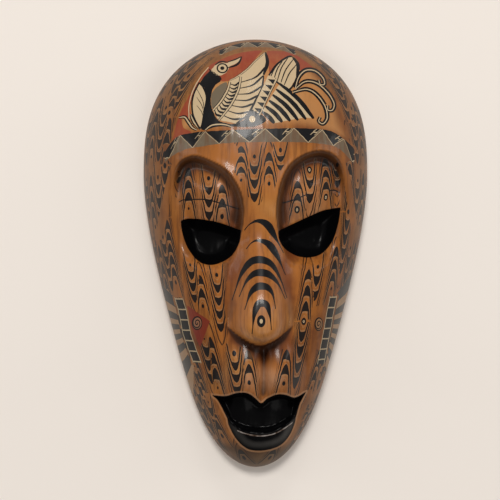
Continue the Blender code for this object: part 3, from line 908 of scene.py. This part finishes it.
red_ground, panel_ground, grey_ground = stored("bird_grounds")
body, cream_parts, _ = stored("bird_fills")
in_mark_x, in_mark_y, mark_sort = stored("mark")
shake = wobble_parts[0] * 0.25
off_panel = panel_ground < -0.2
worn_red = (lumps * 0.9 + streaks * 0.5).eased(0.35, 0.95)
colour = coats(
    colour,
    (outer_line * off_panel * 0.9, THIN_INK),
    (pale_edge * off_panel * (0.3 - side * 0.15), PALE_EDGE),
    (flame_ink * off_panel * (0.97 - side * 0.08), INK),
    (panel_ground.eased(-0.2, 2.5) * (0.3 + lumps * 0.5), TAN),
    ((red_ground + shake).eased(-0.05, 0.12) * (0.66 + worn_red * 0.34), RED),
    ((body + shake) > 0, INK),
    ((cream_parts + shake) > 0, CREAM),
    ((grey_ground + shake) > 0, GREY),
    *zip(stroke_masks("fine_strokes"), (INK, CREAM)),
    *zip(stroke_masks("bold_strokes"), (INK, CREAM)),
)

# The bands of triangles and the fans beside the cheeks
# Black triangles hang from the panel's lower edge between grey ones, each edged with a fine cream line.
# On the cheeks a column of small blocks carries dark rays that spread over the side of the mask.

BAND_TOP = [(-21.4, 23.2), (-20, 25.2), (-18.2, 26.7), (-13.7, 27.5), (-7, 27.8), (-0.2, 28.1), (8.9, 28.3),
            (14.7, 28.1), (17.8, 27.2), (21.5, 24.6), (22.6, 22.8)]
BAND_LOW = [(-21.6, 20.4), (-20.5, 21.7), (-17.1, 23.5), (-13.7, 24.1), (-7, 24.9), (1, 25.1), (8.8, 25.1),
            (17, 24.4), (21.2, 21.3), (22.8, 19.6)]
BAND_POINTS = [-23, -18, -12.4, -6.1, 1.1, 7.7, 14.2, 19.5, 23.6]
CROWN_TOP = [(-9.5, 46.6), (-4.2, 48.6), (0, 48.9), (4.1, 48.7), (9, 47)]
CROWN_LOW = [(-9.5, 45.2), (-4.2, 47.3), (0, 47.5), (4.1, 47.3), (9, 45.6)]
LEFT_BLOCKS = [(-18.2, -10.4), (-17.4, -13), (-16.9, -15.6), (-16.3, -18.6), (-15.1, -22), (-14, -25)]
RIGHT_BLOCKS = [(17.2, -10), (16.5, -13.6), (16, -17.2), (15.3, -21), (14.6, -25.4)]
LEFT_KITE = [(-16.4, -11.8), (-11.2, -15.4), (-13.4, -21.6), (-15.3, -17)]
RAYS = 6
TRIANGLES, TAIL_STRIP, RAY_FAN, BLOCKS = 1, 2, 3, 4
CROWN_REPEAT, STRIP_REPEAT = 4.1, 1.5
BLOCK_LENGTH, BLOCK_WIDTH = 2.4, 1.9
RAY_DARK = tint(30, 38, 42)
RAY_TAN = tint(150, 120, 88)
KITE_RED = tint(112, 38, 26)
BLOCK_EDGE = tint(168, 152, 122)


def lay_bands():
    """Each band's own frame: place along it in repeats, place across it from 0 to 1, and its kind."""
    x, y = grid_x, grid_y
    frames = np.zeros((3, len(x)))

    def lay(inside, *values):
        """Writes a band's three values over what is there, at the points inside the band."""
        for row, value in zip(frames, values):
            row[inside] = np.broadcast_to(value, inside.shape)[inside]

    top, low = height_of(x, through(BAND_TOP)), height_of(x, through(BAND_LOW))
    inside = (y < top + 0.6) & (y > low - 0.6) & (x > -21.6) & (x < 22.2)
    lay(inside, np.interp(x, BAND_POINTS, np.arange(len(BAND_POINTS))), (y - low) / (top - low), TRIANGLES)
    top, low = height_of(x, through(CROWN_TOP)), height_of(x, through(CROWN_LOW))
    inside = (y < top + 0.5) & (y > low - 0.5) & (np.abs(x) < 9)
    lay(inside, x / CROWN_REPEAT + 0.5, (y - low) / (top - low), TRIANGLES)
    (ax, ay), (bx, by) = STRIP
    length = math.hypot(bx - ax, by - ay)
    ux, uy = (bx - ax) / length, (by - ay) / length
    travel = (x - ax) * ux + (y - ay) * uy
    off = (ux * (y - ay) - uy * (x - ax)) / STRIP_WIDTH + 0.5
    inside = (travel > -0.3) & (travel < length + 0.3) & (off > -0.4) & (off < 1.4)
    lay(inside, travel / STRIP_REPEAT, off, TAIL_STRIP)
    for side, blocks, centre, high, deep in ((-1, LEFT_BLOCKS, (-12.4, -16.6), 136, 262),
                                             (1, RIGHT_BLOCKS, (11.6, -16.4), 48, -66)):
        line = np.array(blocks, float)
        spine = np.interp(y, line[::-1, 1], line[::-1, 0])
        out = (x - spine) * side
        turn = np.degrees(np.arctan2(y - centre[1], x - centre[0]))
        turn = np.where((side < 0) & (turn < 0), turn + 360, turn)
        phase = (turn - high) / (deep - high)
        inside = (out > 0.6) & (phase > -0.05) & (phase < 1.05)
        lay(inside, phase * RAYS, np.minimum(phase, 1 - phase) * 10, RAY_FAN)
        inside = (np.abs(out) < 1.3) & (y < line[0, 1] + 0.4) & (y > line[-1, 1] - 0.4)
        lay(inside, (line[0, 1] - y) / BLOCK_LENGTH, out / BLOCK_WIDTH + 0.5, BLOCKS)
    return frames


band_p, band_q, band_kind = lay_bands()
kinds = band_kind[CORNERS].reshape(-1, 4)
same = np.repeat((kinds == kinds[:, :1]).all(axis=1), 4)
store("band", band_p[CORNERS], band_q[CORNERS], band_kind[CORNERS] * same)
store("kite", grid_depth(LEFT_KITE))

place, across_band, kind = stored("band")
kite = stored("kite")[0]
place = place + wobble_parts[1] * 0.05
across_band = across_band + wobble_parts[2] * 0.08
share_of_repeat = place.math("FRACT")
turned = abs(share_of_repeat - 0.5) * 2
within = across_band.between(0.0, 1.0)
is_triangles = kind.near(TRIANGLES) * within
is_strip = kind.near(TAIL_STRIP) * within
is_rays = kind.near(RAY_FAN) * (across_band > 0)
is_blocks = (kind > BLOCKS - 0.5) * within
hanging = across_band > turned
edge_line = abs(across_band - turned) < 0.035
from_edge = across_band * 0.5 + 0.5 - share_of_repeat
nick = (across_band > 0.56) * from_edge.between(0.05, 0.21)
nick_line = nick * ((from_edge < 0.075) | (from_edge > 0.175) | across_band.between(0.72, 0.79))
worn_cream = lumps.eased(0.25, 0.6)
block = share_of_repeat.between(0.08, 0.96) * (abs(across_band - 0.5) < 0.42)

from_mark = (in_mark_x * in_mark_x + in_mark_y * in_mark_y).math("SQRT")
turn = in_mark_y.math("ARCTAN2", in_mark_x) * (0.5 / math.pi)
is_spiral = (mark_sort < SPIRAL + 0.5) * (from_mark < 1)
is_eye = mark_sort.near(BIRD_EYE) * (from_mark < 1)
is_disc = mark_sort.near(DISC) * (from_mark < 1)
is_oval = (mark_sort > OVAL - 0.5) * (from_mark < 1)
spiral = (from_mark * 2.2 + turn).math("FRACT") < 0.4
bare = (1 - (is_spiral | is_eye | is_disc | is_oval)) * off_panel * (kind < 0.5)
colour = coats(
    colour,
    (is_triangles, GREY),
    (is_triangles * streaks.eased(0.4, 0.6) * 0.45, DARK_GRAIN),
    (is_triangles * hanging, INK),
    (is_triangles * (edge_line | nick_line) * (0.55 + worn_cream * 0.3), CREAM),
    (is_strip, CREAM),
    (is_strip * hanging * (across_band < 0.95) * (abs(across_band - turned) > 0.12), INK),
    (is_rays * 0.85, RAY_TAN),
    (is_rays * (share_of_repeat < 0.54) * 0.92, RAY_DARK),
    ((kite + shake).eased(-0.05, 0.1) * 0.9, KITE_RED),
    (is_blocks * 0.85, BLOCK_EDGE),
    (is_blocks * block, INK),
    (is_spiral * 0.4, PALE_EDGE),
    (is_eye | is_oval | (is_spiral * spiral) | (is_spiral * (from_mark > 0.84)), INK),
    (is_disc | (is_eye * from_mark.between(0.36, 0.74)) | (is_oval * (from_mark < 0.38)), CREAM),
    (dot_ink * bare, INK),
    (dot_hole * bare, CREAM),
)

# The lacquered eyes and mouth
# The eye hollows, the mouth and the lower lip are filled in with a thick glossy black lacquer, up to a
# sharp edge that leaves a thin line of pale wood round the mouth, lightened further by a painted highlight.
# A broken painted highlight also lies along the lower lip's crest, where the lacquer gives way to it.

LACQUER = tint(5, 5, 6)
# The pale rim is bare wood and painted highlight; the next colour is the painted highlight on the lip's
# crest.
PALE_RIM_AND_HIGHLIGHT = tint(166, 122, 84)
CREST_HIGHLIGHT = tint(176, 172, 168)
HIGHLIGHT_BELOW_CREST = 0.6
LOWER_EDGE = -38
OVERPAINT = 0.8
RIM_OUTSIDE = 0.32
mouth = opening(MOUTH_TOP, MOUTH_LOW)
low_mouth = np.where(mouth[:, 1:] < LOWER_EDGE, mouth - (0, OVERPAINT), mouth)
mouth_depth = grid_depth(mouth, low_mouth)
eye_depth = grid_depth(*[opening(*eye) for eye in EYES])
off_crest = np.abs(grid_y - height_of(grid_x, through(LIP_CREST)) + HIGHLIGHT_BELOW_CREST)
off_crest += np.clip(np.abs(grid_x - 1.6) - 6.4, 0, None)
store("lacquer", np.maximum(mouth_depth, eye_depth), mouth_depth + RIM_OUTSIDE, off_crest)

lacquer_depth, rim_depth, off_crest = stored("lacquer")
# Painted highlight: a broken pale line along the lower lip's crest, where the lacquer gives way to it.
crest_highlight = (1 - (off_crest + wobble_parts[1] * 0.2).eased(0.06, 0.22)) * wobble.eased(0.25, 0.5)
lacquered = (lacquer_depth + shake * 0.4).eased(-0.08, 0.02) * in_front * (1 - crest_highlight * 0.7)
# A thin line of bare wood outside the mouth's lacquer, brightened as a painted highlight.
pale_rim_and_highlight = (rim_depth + shake).eased(-0.2, 0.0)
colour = coats(
    colour,
    (pale_rim_and_highlight * (0.3 + lumps * 0.5) * in_front, PALE_RIM_AND_HIGHLIGHT),
    (crest_highlight * (lacquer_depth > 0), CREST_HIGHLIGHT),
)
colour = coats(RAW_WOOD, (in_front, colour))

roughness = 0.3 + lumps * 0.16 + side * 0.15 + (1 - in_front) * 0.3
Field.wire(shader, Base_Color=colour, Roughness=roughness, Specular_IOR_Level=0.2, Coat_Weight=0.14,
           Coat_Roughness=0.1)
lacquer = Field.node("ShaderNodeBsdfPrincipled", s0=LACQUER, Roughness=0.24, IOR=1.4, Specular_IOR_Level=0.1)
finishes = [Field(finish.outputs[0]) for finish in (shader, lacquer)]
either = Field.node("ShaderNodeMixShader", s0=lacquered, s1=finishes[0], s2=finishes[1])
Field.wire(wood.node_tree.nodes["Material Output"], Surface=Field(either.outputs[0]))

# The studio
# A pale matt sheet wider than the picture is the floor. A soft window stands over the crown, weaker
# light comes from below the chin, from low over the crown and from a strip on each side, and a long
# lens looks down on the face, three degrees off straight.

LENS_DISTANCE = 1.588
FRAME_SIZE = 0.34925
AIM = (-0.0044, 0.00227, 0.012)
TURN = math.radians(3)
SENSOR = 36.0
REACH = 3.0
SUNLIT, DAYLIGHT, SKY = (1.0, 0.97, 0.93), (1.0, 0.97, 0.94), (1.0, 0.98, 0.96)
LIGHTS = [
    ("window", (-0.2, 1.6, 2.9), (0.9, 0.7), 66, SUNLIT),
    ("fill", (0.5, -1.6, 2.0), (1.6, 1.6), 12, DAYLIGHT),
    ("skylight", (0.1, 1.9, 1.3), (0.5, 0.5), 6, SKY),
    ("left_strip", (-1.5, 0.45, 0.75), (0.2, 0.9), 2.5, SKY),
    ("right_strip", (1.5, 0.45, 0.75), (0.2, 0.9), 2.5, SKY),
]

floor_mesh = bpy.data.meshes.new("floor")
corners = [(across * REACH, along * REACH, 0) for across, along in ((-1, -1), (1, -1), (1, 1), (-1, 1))]
floor_mesh.from_pydata(corners, [], [(0, 1, 2, 3)])
floor = added("floor", floor_mesh)
floor_paint = bpy.data.materials.new("pale_floor")
floor_paint.use_nodes = True
Field.wire(floor_paint.node_tree.nodes["Principled BSDF"], Base_Color=(0.8, 0.75, 0.7, 1), Roughness=0.9)
floor_mesh.materials.append(floor_paint)

camera_data = bpy.data.cameras.new("camera")
camera_data.sensor_width = SENSOR
camera_data.lens = SENSOR * LENS_DISTANCE / FRAME_SIZE
over_face = (AIM[0] - LENS_DISTANCE * math.sin(TURN), AIM[1], AIM[2] + LENS_DISTANCE * math.cos(TURN))
camera = added("camera", camera_data, over_face, (0, -TURN, 0))
bpy.context.scene.camera = camera

for name, (x, y, z), size, power, light_colour in LIGHTS:
    soft_box = bpy.data.lights.new(name, "AREA")
    soft_box.shape = "RECTANGLE"
    soft_box.size, soft_box.size_y = size
    soft_box.energy = power
    soft_box.color = light_colour
    added(name, soft_box, (x, y, z), (math.atan2(math.hypot(x, y), z), 0, math.atan2(x, -y)))

world = bpy.data.worlds.new("soft_room")
world.use_nodes = True
Field.wire(world.node_tree.nodes["Background"], Color=(0.95, 0.91, 0.88, 1), Strength=0.3)
bpy.context.scene.world = world
bpy.context.scene.view_settings.view_transform = "Standard"
